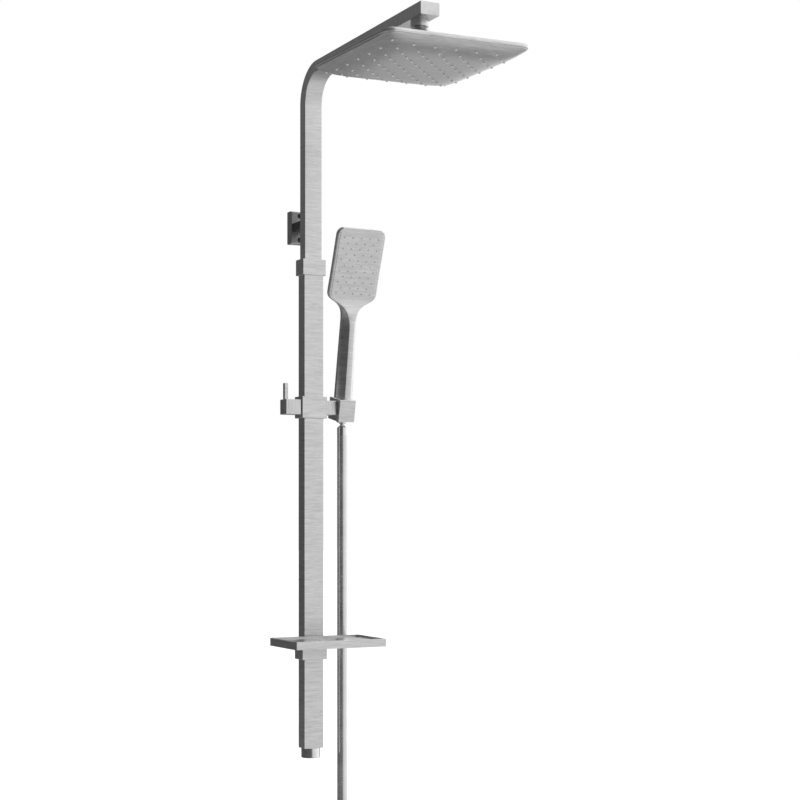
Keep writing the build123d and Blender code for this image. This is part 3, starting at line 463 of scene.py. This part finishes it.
def new_mesh(name, points, faces, material):
    """Makes a smooth-shaded mesh object with one material."""
    mesh = bpy.data.meshes.new(name)
    mesh.from_pydata([tuple(point) for point in points], [], faces)
    mesh.materials.append(material)
    mesh.polygons.foreach_set("use_smooth", [True] * len(mesh.polygons))
    mesh.update()
    return new_object(name, mesh)


def rounded_square(half, r):
    """Points round a square with rounded corners, anticlockwise."""
    points = []
    flat = half - r
    for quarter in range(4):
        turn = quarter * math.pi / 2
        corner = [(flat + r * math.cos(a), flat + r * math.sin(a))
                  for a in (math.pi / 2 * i / CORNER_STEPS for i in range(CORNER_STEPS + 1))]
        side = [(flat - 2 * flat * i / SIDE_STEPS, half) for i in range(1, SIDE_STEPS)]
        for x, y in corner + side:
            points.append((x * math.cos(turn) - y * math.sin(turn),
                           x * math.sin(turn) + y * math.cos(turn)))
    return points


def round_ring(outline, r):
    """A circle whose points have the headings of an outline's points."""
    return [(r * x / math.hypot(x, y), r * y / math.hypot(x, y)) for x, y in outline]


def loft(rings, close=False):
    """Points and faces of a skin through rings of as many points each; close caps the last ring."""
    count = len(rings[0])
    points = [point for ring in rings for point in ring]
    faces = []
    for i in range(len(rings) - 1):
        for j in range(count):
            k = (j + 1) % count
            faces.append((i * count + j, i * count + k, (i + 1) * count + k, (i + 1) * count + j))
    if close:
        faces.append(tuple(range((len(rings) - 1) * count, len(rings) * count)))
    return points, faces


def settled(points):
    """Turns points of the head, measured from its own middle, to its set position on the ball."""
    turn_x, turn_y, turn_z = [Matrix.Rotation(math.radians(a), 4, axis) for a, axis in zip(HEAD_SET, "XYZ")]
    place = Matrix.Translation((0, HEAD_Y, BALL_Z)) @ turn_x @ turn_y @ turn_z
    return [place @ Vector((x, y, z - BALL_Z)) for x, y, z in points]


def at_height(outline, z):
    return [(x, y, z) for x, y in outline]


def head_shell():
    """The cover: rim with eased edges, low roof and the cone up to the swivel nut."""
    edge = [(inset * MM, z * MM) for inset, z in RIM_EDGE]
    height = RIM_TOP - RIM_FOOT
    steps = edge + [(0.0, height / 2)] + [(inset, height - z) for inset, z in reversed(edge[2:])]
    steps += [(inset * MM, height + z * MM) for inset, z in ROOF_STEPS]
    rings = []
    for inset, z in steps:
        last = rounded_square(HEAD_HALF - inset, HEAD_R - min(inset, CORNER_SHRINK))
        rings.append(at_height(last, RIM_FOOT + z))
    for r, z in NECK_STEPS:
        rings.append(at_height(round_ring(last, r * MM), z * MM))
    points, faces = loft(rings, close=True)
    shell = new_mesh("head_shell", settled(points), faces, PLATED)
    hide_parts("head_top_shell")
    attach(shell, "rain_head")


def pillow_z(x, y):
    """Height of the bulged spray face."""
    across = 1 - abs(x / HEAD_HALF) ** PILLOW_POWER
    along = 1 - abs(y / HEAD_HALF) ** PILLOW_POWER
    return RIM_FOOT - FACE_DROP * across * along


def head_face():
    """The bulged spray face, with rings that crowd towards its edge."""
    outer = rounded_square(HEAD_HALF - FACE_INSET, HEAD_R - FACE_INSET)
    rings = [at_height(outer, RIM_FOOT + 2 * MM)]
    for i in range(FACE_RINGS):
        size = 1 - (i / FACE_RINGS) ** 1.5
        rings.append([(x * size, y * size, pillow_z(x * size, y * size)) for x, y in outer])
    points, faces = loft(rings, close=True)
    face = new_mesh("spray_face", settled(points), [tuple(reversed(f)) for f in faces], SPRAY_FACE)
    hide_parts("head_face")
    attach(face, "rain_head")


def nozzle_rings(x, y, z, size=0.72, sides=14):
    """Rings of one soft nozzle that points down."""
    rings = []
    for r, drop in NOZZLE_STEPS:
        rings.append([(x + size * r * MM * math.cos(2 * math.pi * i / sides),
                       y + size * r * MM * math.sin(2 * math.pi * i / sides), z + size * drop * MM)
                      for i in range(sides)])
    return rings


def head_nozzles():
    """A square grid of nozzles with one more in the middle of each of its squares."""
    points, faces = [], []
    half = (HEAD_ROWS - 1) / 2
    places = [(i - half, j - half) for i in range(HEAD_ROWS) for j in range(HEAD_ROWS)]
    places += [(i - half + 0.5, j - half + 0.5) for i in range(HEAD_ROWS - 1) for j in range(HEAD_ROWS - 1)]
    for a, b in places:
        x, y = a * HEAD_PITCH, b * HEAD_PITCH
        more_points, more_faces = loft(nozzle_rings(x, y, pillow_z(x, y)), close=True)
        faces += [tuple(reversed([len(points) + k for k in face])) for face in more_faces]
        points += more_points
    nozzles = new_mesh("spray_nozzles", settled(points), faces, SILICONE)
    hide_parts("head_nozzle_mat")
    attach(nozzles, "rain_head")


head_shell()
head_face()
head_nozzles()


# ---- hand shower ----
HOLDER_LEAN = 8.5               # degrees
PIVOT_Y, PIVOT_Z = -0.050, -0.2645
SOCKET_X = 0.050
HEAD_LEAN = 12.2                # of the spray face against the handle, degrees
TOP_ROW_Y, TOP_ROW_Z = -27.5, 244.8
CORNER_FOOT_Z, CORNER_R = 247.3, 10.5
PLATE_HALF, PLATE_T = 38.0, 8.6
TOP_STEPS, TOP_THINNING = 8, 1.5    # of the rounded top: stations, and how much thinner its end is
EDGE_BEVEL = 1.2
NOZZLE_GRID = (11, 13.45, 8.04)     # rows, pitch across, pitch of the rows
INSERT_FOOT, INSERT_TOP = 143.0, 253.0
INSERT_INSET = 2.9              # of the insert's side from the front facet's edge
FACET_ANGLE = 24                # degrees
# Height and depth of the front, lean, thickness, half width, half width of the front facet, bevel depth.
HANDSET_STATIONS = [
    (15.5, -16.0, 0.0, 21.0, 13.4, 4.6, 11.5),
    (60.0, -15.8, 0.0, 20.8, 12.6, 4.3, 11.3),
    (100.0, -15.5, 0.0, 20.5, 11.8, 4.0, 11.0),
    (122.0, -15.4, 0.0, 20.0, 11.5, 4.3, 10.5),
    (133.0, -14.4, 2.0, 18.0, 11.9, 6.4, 8.5),
    (141.0, -12.6, 5.0, 15.6, 13.6, 9.8, 5.5),
    (147.0, -10.9, 8.0, 13.4, 17.5, 14.6, 3.0),
    (151.5, -9.9, 10.0, 11.6, 23.0, 21.0, 1.8),
    (155.0, -9.3, 11.5, 10.2, 29.5, 28.0, 1.3),
    (158.5, -9.0, 12.2, 9.2, 34.6, 33.4, 1.2),
    (162.5, -9.7, 12.2, 8.8, 37.4, 36.2, 1.2),
    (168.0, -10.9, 12.2, 8.6, 38.2, 37.0, 1.2),
]


def face_front(z):
    """Depth of the spray face's plane at a height in the holder's frame."""
    return TOP_ROW_Y + (TOP_ROW_Z - z) * math.tan(math.radians(HEAD_LEAN))


def handset_stations():
    """The stations of the handle and neck, then of the plate up to its rounded top."""
    stations = list(HANDSET_STATIONS)
    facet = PLATE_HALF - EDGE_BEVEL
    for z in (190.0, 215.0, CORNER_FOOT_Z):
        stations.append((z, face_front(z), HEAD_LEAN, PLATE_T, PLATE_HALF, facet, EDGE_BEVEL))
    for i in range(1, TOP_STEPS + 1):
        a = math.pi / 2 * i / TOP_STEPS
        z = CORNER_FOOT_Z + CORNER_R * math.sin(a)
        w = PLATE_HALF - CORNER_R * (1 - math.cos(a))
        thick = PLATE_T - TOP_THINNING * (i / TOP_STEPS) ** 3
        stations.append((z, face_front(z), HEAD_LEAN, thick, w, w - EDGE_BEVEL, EDGE_BEVEL))
    return stations


def smooth_stations(stations, steps=4):
    """Adds stations between the given ones on a smooth curve."""
    fine = []
    for i in range(len(stations) - 1):
        before, after = max(i - 1, 0), min(i + 2, len(stations) - 1)
        around = [stations[k] for k in (before, i, i + 1, after)]
        for j in range(steps):
            t = j / steps
            fine.append(tuple(hermite(t, [station[k] for station in around], around) for k in range(7)))
    return fine + [stations[-1]]


def hermite(t, values, around):
    """A curve through the middle two of four values, with slopes that suit their uneven heights."""
    z = [station[0] for station in around]
    span = z[2] - z[1]
    first = (values[2] - values[0]) / (z[2] - z[0]) * span
    last = (values[3] - values[1]) / (z[3] - z[1]) * span
    a, b = 2 * t ** 3 - 3 * t ** 2 + 1, t ** 3 - 2 * t ** 2 + t
    return a * values[1] + b * first + (1 - a) * values[2] + (t ** 3 - t ** 2) * last


def from_holder(x, y, z):
    """World place of a point in the holder's leaning frame, given in millimetres."""
    a = math.radians(HOLDER_LEAN)
    return (SOCKET_X + x * MM, PIVOT_Y + (y * math.cos(a) - z * math.sin(a)) * MM,
            PIVOT_Z + (y * math.sin(a) + z * math.cos(a)) * MM)


def section(station, outline):
    """Points of one section; the outline's points are pairs of X and depth."""
    z, y, lean = station[:3]
    a = math.radians(lean)
    return [from_holder(x, y + depth * math.cos(a), z + depth * math.sin(a)) for x, depth in outline]


def body_outline(station):
    """Front facet, bevels, sides and back of the hand shower at a station."""
    _, _, _, thick, w, f, bevel = station
    right = [(f - 0.6, 0.0), (f, 0.25), (w - 0.3, bevel - 0.3), (w, bevel + 0.3), (w, thick - 3.2),
             (w - 0.8, thick - 1.1), (w - 3.0, thick)]
    return right + [(-x, depth) for x, depth in reversed(right)]


def insert_outline(station):
    """A low raised plate, a little narrower than the body's front facet."""
    half = station[5] - INSERT_INSET
    return [(half, 0.6), (half, -0.05), (half - 0.35, -0.3), (0.4 - half, -0.3), (-half, -0.05), (-half, 0.6)]


def faceted(obj):
    """Keeps the edges between facets sharp."""
    obj.data.set_sharp_from_angle(angle=math.radians(FACET_ANGLE))


def handset_body():
    """Handle, funnel neck and head plate as one skin; reflections don't show it."""
    rings = [section(station, body_outline(station)) for station in smooth_stations(handset_stations())]
    points, faces = loft(rings, close=True)
    faces.append(tuple(reversed(range(len(rings[0])))))
    body = new_mesh("handset_shell", points, faces, PLATED_HAND)
    faceted(body)
    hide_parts("handset_body")
    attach(body, "handset")
    body.visible_glossy = False


def handset_face():
    """The insert that carries the nozzles; its foot runs down into the funnel."""
    stations = smooth_stations(handset_stations())
    covered = [station for station in stations if INSERT_FOOT < station[0] < INSERT_TOP]
    rings = [section(station, insert_outline(station)) for station in covered]
    points, faces = loft(rings, close=True)
    faces.append(tuple(reversed(range(len(rings[0])))))
    insert = new_mesh("handset_insert", points, faces, PLATED_HAND)
    faceted(insert)
    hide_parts("handset_face")
    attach(insert, "handset")
    insert.visible_glossy = False


def handset_nozzles():
    """Rows of five and four soft nozzles in turn."""
    rows, pitch, row_pitch = NOZZLE_GRID
    a = math.radians(HEAD_LEAN)
    points, faces = [], []
    for row in range(rows):
        count = 5 - row % 2
        y = TOP_ROW_Y + row * row_pitch * math.sin(a)
        z = TOP_ROW_Z - row * row_pitch * math.cos(a)
        for i in range(count):
            rings = nozzle_rings((i - (count - 1) / 2) * pitch * MM, 0, 0, size=0.62, sides=12)
            flat, more_faces = loft(rings, close=True)
            faces += [tuple(reversed([len(points) + k for k in face])) for face in more_faces]
            for px, py, pz in flat:
                up, out = py / MM, pz / MM
                points.append(from_holder(px / MM, y - up * math.sin(a) + out * math.cos(a),
                                          z + up * math.cos(a) + out * math.sin(a)))
    nozzles = new_mesh("handset_nozzles", points, faces, SILICONE)
    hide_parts("handset_nozzle_mat")
    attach(nozzles, "handset")
    nozzles.visible_glossy = False


handset_body()
handset_face()
handset_nozzles()
